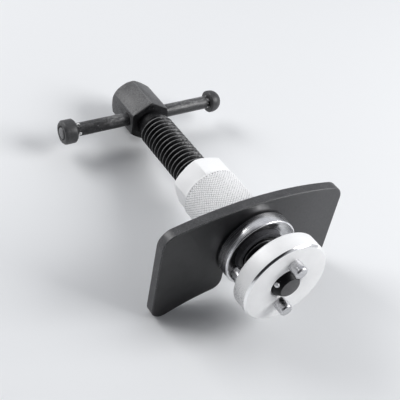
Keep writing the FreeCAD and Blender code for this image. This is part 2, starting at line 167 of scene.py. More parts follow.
def material(name, metallic, group_tree, settings, bump):
    # A Principled surface that takes colour, roughness and relief from an effect group.
    # It hands back the group's node too, so that masks can be joined to it.
    surface = bpy.data.materials.new(name)
    surface.use_nodes = True
    tree = surface.node_tree
    shader = tree.nodes["Principled BSDF"]
    shader.inputs["Metallic"].default_value = metallic
    effect = tree.nodes.new("ShaderNodeGroup")
    effect.node_tree = group_tree
    for label, usual in settings.items():
        effect.inputs[label].default_value = usual
    relief = tree.nodes.new("ShaderNodeBump")
    relief.inputs["Distance"].default_value = bump
    place = tree.nodes.new("ShaderNodeTexCoord").outputs["Object"]
    tree.links.new(place, effect.inputs["Place"])
    tree.links.new(effect.outputs["Color"], shader.inputs["Base Color"])
    tree.links.new(effect.outputs["Roughness"], shader.inputs["Roughness"])
    tree.links.new(effect.outputs["Height"], relief.inputs["Height"])
    tree.links.new(relief.outputs["Normal"], shader.inputs["Normal"])
    return surface, effect, place


def edge_wear(tree, width, strength):
    # Rubbed edges: where the surface's normal, rounded over a width, leaves its own.
    rounding = tree.nodes.new("ShaderNodeBevel")
    rounding.samples = 6
    rounding.inputs["Radius"].default_value = width
    own = tree.nodes.new("ShaderNodeNewGeometry").outputs["Normal"]
    kept = vector_step(tree, "DOT_PRODUCT", rounding.outputs["Normal"], own)["Value"]
    return spread(tree, kept, 0.995, 0.9, 0, strength)


def dress(piece, surface):
    # Gives a piece one material all over.
    piece.data.materials.clear()
    piece.data.materials.append(surface)


plate_black, effect, place = material(
    "plate_black", 0.0, dark_steel,
    {"Rubbed_and_lit": BARE_STEEL, "Shine": 0.4}, 0.003 * MM)
tree = plate_black.node_tree
tree.nodes["Principled BSDF"].inputs["Specular IOR Level"].default_value = 0.55
station = stations_of(tree, place)
# The face is painted darker towards the left end, a painted shadow of the disc, and lighter
# towards the right end, a painted sheen
SHADE_TO_SHEEN_START = -8 * MM
SHADE_TO_SHEEN_END = 34 * MM
one_sided = spread(tree, station["X"], SHADE_TO_SHEEN_START, SHADE_TO_SHEEN_END, 0, 1)
darker = blend_colours(tree, one_sided, (0.006, 0.006, 0.007, 1), (0.05, 0.05, 0.053, 1))
lighter = blend_colours(tree, one_sided, (0.011, 0.011, 0.012, 1), (0.075, 0.075, 0.079, 1))
# Its cut sides are painted lighter, a painted sheen of the light from above, and show specks of
# steel
plate_low, plate_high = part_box("reaction_plate")
PLATE_EDGE = 0.4 * MM
on_side = both(tree, combine(tree, "GREATER_THAN", station["Y"], plate_low.y + PLATE_EDGE),
               combine(tree, "LESS_THAN", station["Y"], plate_high.y - PLATE_EDGE))
tree.links.new(blend_colours(tree, on_side, darker, (0.035, 0.035, 0.037, 1)),
               effect.inputs["Dark"])
tree.links.new(blend_colours(tree, on_side, lighter, (0.08, 0.08, 0.083, 1)),
               effect.inputs["Light"])
on_edge = edge_wear(tree, 0.8 * MM, 0.9)
tree.links.new(on_edge, effect.inputs["Wear_and_sheen"])
tree.links.new(combine(tree, "MAXIMUM", on_edge, both(tree, on_side, 0.8)),
               effect.inputs["Specks"])
dress(nodes["reaction_plate"], plate_black)

# Screw spindle: one steel bar, turned, with its hexagon head milled and cross-drilled for
# the tommy bar and a left-hand thread cut along the shank. It is oxide-blacked and oiled.
spindle_low, spindle_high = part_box("spindle")
bar_low, bar_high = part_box("tommy_bar")
disc_low, disc_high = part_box("pin_disc")
BAR_Y = (bar_low.y + bar_high.y) / 2
BAR_INSET = 6.5 * MM
HEAD_FRONT = BAR_Y - BAR_INSET
HEAD_END = spindle_high.y
HEAD_FLATS = spindle_high.x - spindle_low.x
HEAD_CORNER = HEAD_FLATS / math.sqrt(3)
HEAD_BEVEL = 1 * MM
CROWN_RADIUS = 8.6 * MM
CROWN_DEPTH = 2.4 * MM
CROWN_BREAK_IN = 1.3 * MM
CROWN_BREAK_DEPTH = 0.9 * MM
NOSE_END = spindle_low.y
NOSE_RADIUS = 7.25 * MM
NOSE_TIP_RADIUS = 4.95 * MM
NOSE_CONE = 3.3 * MM
SEAT_PLAY = 0.1 * MM
SEAT = disc_high.y + SEAT_PLAY
SEAT_RISE = 0.3 * MM
SEAT_LENGTH = 0.4 * MM
THREAD_RADIUS = 9 * MM
THREAD_PITCH = 2.75 * MM
THREAD_ROOT = 7.5 * MM
THREAD_END = HEAD_FRONT - 4.4 * MM
RELIEF_RADIUS = 7.2 * MM
RELIEF_START = HEAD_FRONT - 2.8 * MM
BAR_HOLE = 3.55 * MM
OVERLAP = 1 * MM
SHARP = math.radians(30)


def choose(piece):
    # Makes one object the only selected one, and active.
    bpy.ops.object.select_all(action="DESELECT")
    piece.select_set(True)
    bpy.context.view_layer.objects.active = piece


def lathe(name, corners, steps=96, axis="Y", centre=(0, 0, 0)):
    # Turns a half section of (radius, station) corners a full turn into a closed solid.
    cross, along, deep = centre
    if axis == "Y":
        points = [(cross + radius, station, deep) for radius, station in corners]
        way = (0, 1, 0)
    else:
        points = [(station, along + radius, deep) for radius, station in corners]
        way = (1, 0, 0)
    section = bpy.data.meshes.new(name)
    section.from_pydata(points, [(i, i + 1) for i in range(len(points) - 1)], [])
    piece = bpy.data.objects.new(name, section)
    bpy.context.collection.objects.link(piece)
    choose(piece)
    bpy.ops.object.mode_set(mode="EDIT")
    bpy.ops.mesh.select_all(action="SELECT")
    bpy.ops.mesh.spin(steps=steps, angle=2 * math.pi, center=centre, axis=way)
    bpy.ops.mesh.select_all(action="SELECT")
    bpy.ops.mesh.remove_doubles(threshold=0.001 * MM)
    bpy.ops.mesh.normals_make_consistent(inside=False)
    bpy.ops.object.mode_set(mode="OBJECT")
    return piece


def use_modifier(piece, kind, **settings):
    # Adds a modifier with its settings and applies it.
    choose(piece)
    modifier = piece.modifiers.new(kind.lower(), kind)
    for setting, chosen in settings.items():
        setattr(modifier, setting, chosen)
    bpy.ops.object.modifier_apply(modifier=modifier.name)


def cut_with(piece, tool, operation):
    # Cuts a piece with another, or keeps what they share, and throws the tool away.
    use_modifier(piece, "BOOLEAN", object=tool, operation=operation, solver="EXACT")
    bpy.data.objects.remove(tool)


def break_edges(piece, width, segments=2):
    # Rounds every sharp edge a little and shades the rest smooth.
    use_modifier(piece, "BEVEL", width=width, segments=segments, limit_method="ANGLE",
                 angle_limit=SHARP, harden_normals=False)
    choose(piece)
    bpy.ops.object.shade_smooth_by_angle(angle=SHARP)


def join(first, *others):
    # Makes several objects one, which keeps the first one's name.
    choose(first)
    for other in others:
        other.select_set(True)
    bpy.ops.object.join()


def hexagon(corner, start, end, turn=0.0):
    # Six-sided bar along Y with a corner at the top, or turned from there about Y.
    bpy.ops.object.select_all(action="DESELECT")
    bpy.ops.mesh.primitive_cylinder_add(
        vertices=6, radius=corner, depth=end - start, location=(0, (start + end) / 2, 0),
        rotation=(math.pi / 2, -turn, 0))
    bpy.ops.object.transform_apply(location=True, rotation=True, scale=True)
    return bpy.context.object


spindle = lathe("screw_spindle", (
    (0, NOSE_END),
    (NOSE_TIP_RADIUS, NOSE_END),
    (NOSE_RADIUS, NOSE_END + NOSE_CONE),
    (NOSE_RADIUS, SEAT),
    (THREAD_ROOT + SEAT_RISE, SEAT),
    (THREAD_ROOT, SEAT + SEAT_LENGTH),
    (THREAD_ROOT, THREAD_END),
    (RELIEF_RADIUS, RELIEF_START),
    (RELIEF_RADIUS, HEAD_FRONT + OVERLAP),
    (0, HEAD_FRONT + OVERLAP),
))
break_edges(spindle, 0.25 * MM)

# The thread is one tooth, wound up the shank and filed away to nothing at both ends.
TOOTH_FOOT = THREAD_ROOT - 0.2 * MM
TOOTH_ROUND = 0.14 * MM
flank = (
    (TOOTH_FOOT, 1.18 * MM),
    (THREAD_ROOT + 0.15 * MM, 1.02 * MM),
    (THREAD_RADIUS - TOOTH_ROUND, 0.3 * MM),
    (THREAD_RADIUS, TOOTH_ROUND),
)
tooth = [(radius, -station) for radius, station in flank] + list(reversed(flank))
turns = int((THREAD_END - SEAT) / THREAD_PITCH)
section = bpy.data.meshes.new("thread")
section.from_pydata([(radius, SEAT + THREAD_PITCH / 2 + station, 0)
                     for radius, station in tooth],
                    [(i, (i + 1) % len(tooth)) for i in range(len(tooth))], [])
thread = bpy.data.objects.new("thread", section)
bpy.context.collection.objects.link(thread)
TURN_STEPS = 64
use_modifier(thread, "SCREW", axis="Y", angle=2 * math.pi, screw_offset=THREAD_PITCH,
             iterations=turns, steps=TURN_STEPS, render_steps=TURN_STEPS,
             use_merge_vertices=False, use_smooth_shade=True)
RUN_OUT = TURN_STEPS // 2
rings = turns * TURN_STEPS
for number, vertex in enumerate(thread.data.vertices):
    ring = number // len(tooth)
    fade = min(1, ring / RUN_OUT, (rings - ring) / RUN_OUT)
    radius = math.hypot(vertex.co.x, vertex.co.z)
    lowered = TOOTH_FOOT + (radius - TOOTH_FOOT) * fade
    vertex.co.x *= -lowered / radius
    vertex.co.z *= lowered / radius
choose(thread)
bpy.ops.object.mode_set(mode="EDIT")
bpy.ops.mesh.select_all(action="DESELECT")
bpy.ops.mesh.select_mode(type="EDGE")
bpy.ops.mesh.select_non_manifold(extend=False)
bpy.ops.mesh.fill()
bpy.ops.mesh.select_mode(type="VERT")
bpy.ops.mesh.select_all(action="SELECT")
bpy.ops.mesh.normals_make_consistent(inside=False)
bpy.ops.object.mode_set(mode="OBJECT")
bpy.ops.object.shade_smooth_by_angle(angle=math.radians(40))

head = lathe("head", (
    (0, HEAD_FRONT),
    (HEAD_CORNER - HEAD_BEVEL, HEAD_FRONT),
    (HEAD_CORNER, HEAD_FRONT + HEAD_BEVEL),
    (HEAD_CORNER, HEAD_END - CROWN_DEPTH),
    (HEAD_CORNER - CROWN_BREAK_IN, HEAD_END - CROWN_BREAK_DEPTH),
    (CROWN_RADIUS, HEAD_END),
    (0, HEAD_END),
), 120)
cut_with(head, hexagon(HEAD_CORNER, HEAD_FRONT - OVERLAP, HEAD_END + OVERLAP), "INTERSECT")
bpy.ops.object.select_all(action="DESELECT")
bpy.ops.mesh.primitive_cylinder_add(vertices=64, radius=BAR_HOLE, depth=3 * HEAD_FLATS,
                                    location=(0, BAR_Y, 0), rotation=(0, math.pi / 2, 0))
cut_with(head, bpy.context.object, "DIFFERENCE")
break_edges(head, 0.3 * MM)
join(spindle, thread, head)
spindle_black, effect, place = material(
    "spindle_black", 0.0, dark_steel,
    {"Specks": 0.5, "Rubbed_and_lit": (0.26, 0.26, 0.262, 1), "Shine": 0.42}, 0.02 * MM)
tree = spindle_black.node_tree
station = stations_of(tree, place)
outer = reach_of(tree, place)
threaded = combine(tree, "LESS_THAN", station["Y"], THREAD_END)
# The crests are rubbed all round
crest = spread(tree, outer, THREAD_RADIUS - 0.16 * MM, THREAD_RADIUS - 0.01 * MM, 0, 0.8)
# One side of the thread, to the right and above, has a painted glint: its flanks are painted
# lighter and mottled there up to the crests
LIT_SIDE_WAY = (0.795, 0, 0.606)
sideways = vector_step(tree, "DOT_PRODUCT", place, LIT_SIDE_WAY)["Value"]
painted_glint = spread(tree, sideways, 3.8 * MM, 6.6 * MM, 0, 1)
blotches = spread(tree, noise(tree, place, 800, 4.0), 0.44, 0.62, 0.1, 0.8)
upper = spread(tree, outer, THREAD_RADIUS - 1.2 * MM, THREAD_RADIUS - 0.4 * MM, 0, 1)
painted_glint = both(tree, both(tree, painted_glint, blotches), upper)
worn_and_lit = both(tree, combine(tree, "MAXIMUM", crest, painted_glint), threaded)
# The head is greyer and glossier than the shank, and its edges are rubbed
headed = spread(tree, station["Y"], HEAD_FRONT + 0.5 * MM, HEAD_FRONT + 1.1 * MM, 0, 1)
on_head = both(tree, edge_wear(tree, 1.1 * MM, 0.9), headed)
tree.links.new(combine(tree, "MAXIMUM", worn_and_lit, on_head), effect.inputs["Wear_and_sheen"])
glossy = combine(tree, "MAXIMUM", spread(tree, worn_and_lit, 0, 0.8, 0.15, 0.6),
                 both(tree, headed, 0.5))
tree.links.new(glossy, tree.nodes["Principled BSDF"].inputs["Specular IOR Level"])
# The nose's end face is greyer than the rest
ended = combine(tree, "LESS_THAN", station["Y"], NOSE_END + 0.08 * MM)
lighter = blend_colours(tree, headed, (0.016, 0.016, 0.017, 1), (0.14, 0.14, 0.142, 1))
lighter = blend_colours(tree, ended, lighter, (0.12, 0.12, 0.122, 1))
darker = blend_colours(tree, headed, (0.006, 0.006, 0.007, 1), (0.028, 0.028, 0.03, 1))
darker = blend_colours(tree, ended, darker, (0.09, 0.09, 0.092, 1))
tree.links.new(lighter, effect.inputs["Light"])
tree.links.new(darker, effect.inputs["Dark"])
dress(spindle, spindle_black)
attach(spindle, "screw")
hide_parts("spindle")

# Detent ball and its spring: hard steel, held in a cross hole in the nose to keep the
# disc on. The hole isn't cut here, so the ball stands straight out of the nose.


def smooth_metal(name, colour, roughness):
    # Smooth bare metal with a faint haze that changes over the surface.
    surface = bpy.data.materials.new(name)
    surface.use_nodes = True
    tree = surface.node_tree
    shader = tree.nodes["Principled BSDF"]
    shader.inputs["Metallic"].default_value = 1
    place = tree.nodes.new("ShaderNodeTexCoord").outputs["Object"]
    haze = noise(tree, place, 700)
    tree.links.new(spread(tree, haze, 0.3, 0.7, roughness * 0.7, roughness * 1.4),
                   shader.inputs["Roughness"])
    darker = (colour[0] * 0.9, colour[1] * 0.9, colour[2] * 0.91, 1)
    tree.links.new(blend_colours(tree, haze, darker, (*colour, 1)),
                   shader.inputs["Base Color"])
    return surface


dress(nodes["detent_ball"], smooth_metal("ball_steel", (0.88, 0.88, 0.89), 0.45))
dress(nodes["detent_spring"], smooth_metal("spring_steel", (0.5, 0.5, 0.5), 0.3))

# Nut: turned from steel bar with a neck, a knurled grip and a milled hexagon, then
# bright zinc plated. The thread inside it can't be seen, and its bore is left plain.
nut_low, nut_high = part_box("nut_sleeve")
flange_low, flange_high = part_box("thrust_flange")
GRIP_RADIUS = nut_high.x
GRIP_START = 0.2 * MM
GRIP_END = GRIP_START + 30 * MM
GRIP_BEVEL = 0.8 * MM
BORE = THREAD_RADIUS + 0.08 * MM
BORE_BEVEL = 1 * MM
NECK_RADIUS = 12 * MM
NUT_FLATS = 25 * MM
NUT_CORNER = NUT_FLATS / math.sqrt(3)
NUT_TURN = math.radians(20)
SPANNER_START = GRIP_END - 0.5 * MM
SPANNER_BEVEL_RADIUS = 12.7 * MM
SPANNER_BEVEL_DEPTH = 1.1 * MM
KNURL_PITCH = 1.5 * MM
KNURL_DEPTH = 0.15 * MM
KNURL_START = GRIP_START + GRIP_BEVEL
KNURL_END = GRIP_END - 0.4 * MM
KNURL_BED = GRIP_RADIUS - 0.7 * MM
KNURL_FOOT = KNURL_BED - 0.3 * MM

nut = lathe("nut_body", (
    (BORE, nut_low.y + BORE_BEVEL),
    (BORE + BORE_BEVEL, nut_low.y),
    (NECK_RADIUS, nut_low.y),
    (NECK_RADIUS, GRIP_START),
    (GRIP_RADIUS - GRIP_BEVEL, GRIP_START),
    (KNURL_BED, GRIP_START + 0.9 * MM),
    (KNURL_BED, SPANNER_START),
    (GRIP_RADIUS, KNURL_END),
    (GRIP_RADIUS, GRIP_END),
    (BORE, GRIP_END),
    (BORE, nut_low.y + BORE_BEVEL),
))
break_edges(nut, 0.15 * MM)
spanner_end = lathe("spanner_end", (
    (BORE, SPANNER_START),
    (GRIP_RADIUS, SPANNER_START),
    (GRIP_RADIUS, nut_high.y - SPANNER_BEVEL_DEPTH),
    (SPANNER_BEVEL_RADIUS, nut_high.y),
    (BORE + BORE_BEVEL, nut_high.y),
    (BORE, nut_high.y - BORE_BEVEL),
    (BORE, SPANNER_START),
), 120)
cut_with(spanner_end, hexagon(NUT_CORNER, GRIP_END - OVERLAP, nut_high.y + OVERLAP, NUT_TURN),
         "INTERSECT")
break_edges(spanner_end, 0.2 * MM)

# The knurl is rows of four-sided points, each standing between its lower neighbours.
round_count = 2 * round(2 * math.pi * GRIP_RADIUS / KNURL_PITCH)
row_count = 2 * round((KNURL_END - KNURL_START) / KNURL_PITCH)
row_step = (KNURL_END - KNURL_START) / row_count
rows = [(KNURL_FOOT, KNURL_START)]
rows += [(None, KNURL_START + row * row_step) for row in range(row_count + 1)]
rows += [(KNURL_FOOT, rows[-1][1])]
points = []
for row, (fixed, station) in enumerate(rows):
    for column in range(round_count):
        angle = 2 * math.pi * column / round_count
        raised = (row + column) % 2 and 1 < row < len(rows) - 2
        radius = fixed or GRIP_RADIUS - (0 if raised else KNURL_DEPTH)
        points.append((radius * math.cos(angle), station, radius * math.sin(angle)))
faces = []
for row in range(len(rows)):
    above = (row + 1) % len(rows)
    for column in range(round_count):
        after = (column + 1) % round_count
        low_left = row * round_count + column
        low_right = row * round_count + after
        high_left = above * round_count + column
        high_right = above * round_count + after
        if (row + column) % 2:
            faces += [(low_right, low_left, high_left), (low_right, high_left, high_right)]
        else:
            faces += [(low_left, high_left, high_right), (low_left, high_right, low_right)]
knurl_mesh = bpy.data.meshes.new("knurl")
knurl_mesh.from_pydata(points, [], faces)
knurl = bpy.data.objects.new("knurl", knurl_mesh)
bpy.context.collection.objects.link(knurl)
choose(knurl)
bpy.ops.object.mode_set(mode="EDIT")
bpy.ops.mesh.select_all(action="SELECT")
bpy.ops.mesh.normals_make_consistent(inside=False)
bpy.ops.object.mode_set(mode="OBJECT")
join(nut, spanner_end, knurl)

# Bright plating over tool marks: fine lines run round the axis on every turned surface,
# and oil and wear leave soft grey smudges
bright_plating, given, made = effect_group(
    "bright_plating",
    [("Place", "NodeSocketVector", (0, 0, 0)),
     ("Bright", "NodeSocketColor", (0.9, 0.9, 0.9, 1)),
     ("Dull", "NodeSocketColor", (0.72, 0.73, 0.74, 1)),
     ("Stain_and_shade", "NodeSocketColor", (0.2, 0.2, 0.21, 1)),
     ("Stained_and_shaded", "NodeSocketFloat", 0.0),
     ("Polish", "NodeSocketFloat", 0.25)],
    [("Color", "NodeSocketColor"), ("Roughness", "NodeSocketFloat"),
     ("Height", "NodeSocketFloat")])
ringed = bright_plating.nodes.new("ShaderNodeCombineXYZ")
bright_plating.links.new(reach_of(bright_plating, given.outputs["Place"]),
                         ringed.inputs["X"])
bright_plating.links.new(stations_of(bright_plating, given.outputs["Place"])["Y"],
                         ringed.inputs["Y"])
lines = noise(bright_plating, ringed.outputs["Vector"], 3800)
clouds = noise(bright_plating, given.outputs["Place"], 260)
grain = noise(bright_plating, given.outputs["Place"], 2600)
colour = blend_colours(bright_plating, spread(bright_plating, clouds, 0.35, 0.65, 0, 1),
                       given.outputs["Bright"], given.outputs["Dull"])
# The stain mask darkens real stains on the disc's rim, a painted reflection in the flange's
# dish, and the knurl's pits on the nut
stain_and_shade_share = both(bright_plating, spread(bright_plating, grain, 0.4, 0.6, 0.3, 1),
               given.outputs["Stained_and_shaded"])
colour = blend_colours(bright_plating, stain_and_shade_share, colour, given.outputs["Stain_and_shade"])
polished = both(bright_plating, given.outputs["Polish"],
                spread(bright_plating, lines, 0.3, 0.7, 0.9, 1.15))
bright_plating.links.new(colour, made.inputs["Color"])
bright_plating.links.new(polished, made.inputs["Roughness"])
bright_plating.links.new(lines, made.inputs["Height"])

nut_zinc, effect, place = material(
    "nut_zinc", 0.05, bright_plating,
    {"Stain_and_shade": (0.1, 0.1, 0.11, 1), "Polish": 0.42}, 0.002 * MM)
tree = nut_zinc.node_tree
station = stations_of(tree, place)
# The knurl's pits are coloured darker
pits = spread(tree, reach_of(tree, place), GRIP_RADIUS - 0.75 * KNURL_DEPTH,
              GRIP_RADIUS - KNURL_DEPTH, 0, 1)
on_grip = combine(tree, "LESS_THAN", station["Y"], GRIP_END - 0.6 * MM)
tree.links.new(both(tree, pits, on_grip), effect.inputs["Stained_and_shaded"])
# The neck, in the slot and in front of the plate, is coloured near black
NECK_START = -1 * MM
on_neck = combine(tree, "LESS_THAN", station["Y"], NECK_START)
tree.links.new(blend_colours(tree, on_neck, (0.99, 0.99, 0.99, 1), (0.02, 0.02, 0.021, 1)),
               effect.inputs["Bright"])
tree.links.new(blend_colours(tree, on_neck, (0.97, 0.97, 0.97, 1), (0.012, 0.012, 0.013, 1)),
               effect.inputs["Dull"])
dress(nut, nut_zinc)
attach(nut, "nut")
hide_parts("nut_sleeve")

# Thrust flange: a chromed steel ring pressed on the nut's neck, its front dished between
# the rim and the neck. It takes the push of the screw to the plate.
FLANGE_RADIUS = flange_high.x
FLANGE_BEVEL = 0.7 * MM
# Steps in from the rim, and out from the neck, each with its depth behind the front
RIM_BEAD = ((0, 0.6), (0.2, 0.15), (0.5, 0), (0.9, 0.12))
DISH_FILLET = ((1.6, 1.9), (0.5, 2.5), (0, 2.6))
flange = lathe("flange_ring", (
    (NECK_RADIUS, flange_high.y),
    (FLANGE_RADIUS - FLANGE_BEVEL, flange_high.y),
    (FLANGE_RADIUS, flange_high.y - FLANGE_BEVEL),
    *((FLANGE_RADIUS - step * MM, flange_low.y + depth * MM) for step, depth in RIM_BEAD),
    *((NECK_RADIUS + step * MM, flange_low.y + depth * MM) for step, depth in DISH_FILLET),
    (NECK_RADIUS, flange_high.y),
), 128)
break_edges(flange, 0.2 * MM, 3)
flange_chrome, effect, place = material(
    "flange_chrome", 1.0, bright_plating,
    {"Bright": (0.92, 0.92, 0.93, 1), "Dull": (0.76, 0.76, 0.78, 1),
     "Stain_and_shade": (0.02, 0.02, 0.022, 1), "Polish": 0.25}, 0.001 * MM)
tree = flange_chrome.node_tree
# The dish is painted dark, a painted reflection of the black screw, but for its right side
# where the chrome shows
hollow = spread(tree, reach_of(tree, place), FLANGE_RADIUS - 0.9 * MM,
                FLANGE_RADIUS - 2.2 * MM, 0, 3)
painted_dark_reflection = spread(tree, stations_of(tree, place)["X"], 7.5 * MM, 3.5 * MM, 0.02, 1)
tree.links.new(both(tree, hollow, painted_dark_reflection), effect.inputs["Stained_and_shaded"])
dress(flange, flange_chrome)
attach(flange, "nut")
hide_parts("thrust_flange")

# Pin disc: turned steel, bored to spin on the screw's nose and bright zinc plated. Its
# front face presses on the piston.
DISC_RADIUS = disc_high.x
DISC_BORE = NOSE_RADIUS + 0.08 * MM
DISC_BEVEL = 0.9 * MM
FRONT_SINK = 1 * MM
REAR_SINK = 0.6 * MM
disc = lathe("pressing_disc", (
    (DISC_BORE, disc_low.y + FRONT_SINK),
    (DISC_BORE + FRONT_SINK, disc_low.y),
    (DISC_RADIUS - DISC_BEVEL, disc_low.y),
    (DISC_RADIUS, disc_low.y + DISC_BEVEL),
    (DISC_RADIUS, disc_high.y - DISC_BEVEL),
    (DISC_RADIUS - DISC_BEVEL, disc_high.y),
    (DISC_BORE + REAR_SINK, disc_high.y),
    (DISC_BORE, disc_high.y - REAR_SINK),
    (DISC_BORE, disc_low.y + FRONT_SINK),
), 160)
break_edges(disc, 0.1 * MM)
disc_zinc, effect, place = material(
    "disc_zinc", 0.2, bright_plating,
    {"Bright": (0.99, 0.99, 0.99, 1), "Dull": (0.96, 0.96, 0.96, 1),
     "Stain_and_shade": (0.3, 0.3, 0.31, 1)}, 0.002 * MM)
tree = disc_zinc.node_tree
station = stations_of(tree, place)
outer = reach_of(tree, place)
# The front bevel was cut with a fresh tool, so it is much smoother than the rest
BEVEL_REACH = 0.95 * MM
on_bevel = both(tree, combine(tree, "GREATER_THAN", outer, DISC_RADIUS - BEVEL_REACH),
                combine(tree, "LESS_THAN", station["Y"], disc_low.y + BEVEL_REACH))
on_bevel = both(tree, on_bevel, combine(tree, "LESS_THAN", outer, DISC_RADIUS - 0.02 * MM))
tree.links.new(spread(tree, on_bevel, 0, 1, 0.52, 0.12), effect.inputs["Polish"])
tree.links.new(spread(tree, on_bevel, 0, 1, 0.2, 1),
               tree.nodes["Principled BSDF"].inputs["Metallic"])
# The plating is pitted on the rim's lower left, where the disc was handled most
one_sided = both(tree, spread(tree, station["X"], -13 * MM, -20 * MM, 0, 1),
               spread(tree, station["Z"], 5 * MM, -3 * MM, 0, 1))
flecks = spread(tree, noise(tree, place, 2600, 4.0), 0.5, 0.62, 0.08, 0.8)
on_rim = combine(tree, "GREATER_THAN", outer, DISC_RADIUS - 0.1 * MM)
tree.links.new(both(tree, both(tree, one_sided, flecks), on_rim), effect.inputs["Stained_and_shaded"])
dress(disc, disc_zinc)
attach(disc, "disc")
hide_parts("pin_disc")

# Drive pins: ground steel dowels pressed into blind holes, two on each face, bevelled at
# the end that goes into the piston's notches.
PIN_RADIUS = 3.1 * MM
PIN_BEVEL = 0.6 * MM
pin_steel = smooth_metal("pin_steel", (0.66, 0.66, 0.67), 0.27)
for name in ("front_pin_1", "front_pin_2", "rear_pin_1", "rear_pin_2"):
    pin_low, pin_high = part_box(name)
    middle = ((pin_low.x + pin_high.x) / 2, 0, (pin_low.z + pin_high.z) / 2)
    tip, foot = (pin_low.y, pin_high.y) if name.startswith("front") else (pin_high.y, pin_low.y)
    inwards = math.copysign(1, foot - tip)
    pin = lathe(name + "_dowel", (
        (0, tip),
        (PIN_RADIUS - PIN_BEVEL, tip),
        (PIN_RADIUS, tip + inwards * PIN_BEVEL),
        (PIN_RADIUS, foot),
        (0, foot),
    ), 48, centre=middle)
    break_edges(pin, 0.15 * MM)
    dress(pin, pin_steel)
    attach(pin, "disc")
    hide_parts(name)

# Tommy bar: plain drawn rod, blacked, that slides through the head. Its left tenon is
# riveted over the collar and its right one is pressed into the knob.
collar_low, collar_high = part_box("end_collar")
knob_low, knob_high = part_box("end_knob")
BAR_RADIUS = (bar_high.y - bar_low.y) / 2
TENON_RADIUS = 3 * MM
RIVET_BEVEL = 0.5 * MM
bar_centre = (0, BAR_Y, 0)
bar = lathe("slide_bar", (
    (0, bar_low.x),
    (TENON_RADIUS - RIVET_BEVEL, bar_low.x),
    (TENON_RADIUS, bar_low.x + RIVET_BEVEL),
    (TENON_RADIUS, collar_high.x),
    (BAR_RADIUS, collar_high.x),
    (BAR_RADIUS, knob_low.x),
    (TENON_RADIUS, knob_low.x),
    (TENON_RADIUS, bar_high.x),
    (0, bar_high.x),
), 64, "X", bar_centre)
break_edges(bar, 0.2 * MM)
bar_black, effect, place = material(
    "bar_black", 0.0, dark_steel,
    {"Dark": (0.012, 0.012, 0.013, 1), "Light": (0.03, 0.03, 0.032, 1), "Specks": 0.6,
     "Shine": 0.36}, 0.015 * MM)
tree = bar_black.node_tree
station = stations_of(tree, place)


def stretch_of(start, end, soft):
    # A band along the bar that fades at both ends.
    rise = spread(tree, station["X"], start - soft, start + soft, 0, 1)
    fall = spread(tree, station["X"], end - soft, end + soft, 1, 0)
    return both(tree, rise, fall)


# Sliding left lengthwise scratches on its top side, which is also painted lighter as a painted
# highlight, mostly beside the head and towards the knob
LENGTHWISE = (0.3, 1, 1)
drawn_out = vector_step(tree, "MULTIPLY", place, LENGTHWISE)["Vector"]
scratches = spread(tree, noise(tree, drawn_out, 900, 4.0), 0.42, 0.66, 0.25, 1)
on_top = spread(tree, station["Z"], 0.2 * MM, 2.8 * MM, 0, 1)
by_the_head = stretch_of(-22 * MM, -13 * MM, 1.5 * MM)
by_the_knob = stretch_of(14 * MM, 38 * MM, 3 * MM)
scratched_and_lit = combine(tree, "MAXIMUM", by_the_head, both(tree, by_the_knob, 0.7))
scratched_and_lit = both(tree, combine(tree, "MAXIMUM", scratched_and_lit, 0.3), scratches)
scratched_and_lit = both(tree, scratched_and_lit, on_top)
# The bar was pinched beside the collar and the knob, which left bright dents
pinched = combine(tree, "MAXIMUM",
                  stretch_of(collar_high.x + 0.9 * MM, collar_high.x + 2.4 * MM, 0.2 * MM),
                  stretch_of(knob_low.x - 1.4 * MM, knob_low.x - 0.5 * MM, 0.3 * MM))
dents = spread(tree, noise(tree, place, 620, 2.0), 0.5, 0.56, 0, 3)
pinched = both(tree, pinched, dents)
tree.links.new(blend_colours(tree, pinched, (0.34, 0.34, 0.34, 1), (0.85, 0.85, 0.85, 1)),
               effect.inputs["Rubbed_and_lit"])
tree.links.new(combine(tree, "MAXIMUM", scratched_and_lit, pinched), effect.inputs["Wear_and_sheen"])
# The riveted end is greyer than the rest
ended = combine(tree, "LESS_THAN", station["X"], collar_low.x + 0.1 * MM)
tree.links.new(blend_colours(tree, ended, (0.03, 0.03, 0.032, 1), (0.2, 0.2, 0.203, 1)),
               effect.inputs["Light"])
tree.links.new(blend_colours(tree, ended, (0.012, 0.012, 0.013, 1), (0.13, 0.13, 0.133, 1)),
               effect.inputs["Dark"])
dress(bar, bar_black)
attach(bar, "bar")
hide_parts("tommy_bar")

# End collar: a bevelled steel ring over the left tenon, with a countersink round the
# riveted end.
COLLAR_RADIUS = collar_high.z
COLLAR_BEVEL = 1 * MM
RIVET_SINK = 1.2 * MM
SINK_LIP = 0.5 * MM
SINK_WIDTH = 0.9 * MM
collar = lathe("riveted_collar", (
    (TENON_RADIUS, collar_low.x + RIVET_SINK),
    (TENON_RADIUS + 0.8 * MM, collar_low.x + SINK_LIP),
    (TENON_RADIUS + SINK_WIDTH, collar_low.x),
    (COLLAR_RADIUS - COLLAR_BEVEL, collar_low.x),
    (COLLAR_RADIUS, collar_low.x + COLLAR_BEVEL),
    (COLLAR_RADIUS, collar_high.x - COLLAR_BEVEL),
    (COLLAR_RADIUS - COLLAR_BEVEL, collar_high.x),
    (TENON_RADIUS, collar_high.x),
    (TENON_RADIUS, collar_low.x + RIVET_SINK),
), 64, "X", bar_centre)
break_edges(collar, 0.2 * MM)
bar_end_black, effect = material(
    "bar_end_black", 0.0, dark_steel,
    {"Dark": (0.035, 0.035, 0.036, 1), "Light": (0.08, 0.08, 0.082, 1), "Specks": 0.3,
     "Rubbed_and_lit": (0.2, 0.2, 0.2, 1), "Shine": 0.42}, 0.02 * MM)[:2]
tree = bar_end_black.node_tree
tree.links.new(edge_wear(tree, 0.6 * MM, 0.7), effect.inputs["Wear_and_sheen"])
dress(collar, bar_end_black)
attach(collar, "bar")
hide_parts("end_collar")

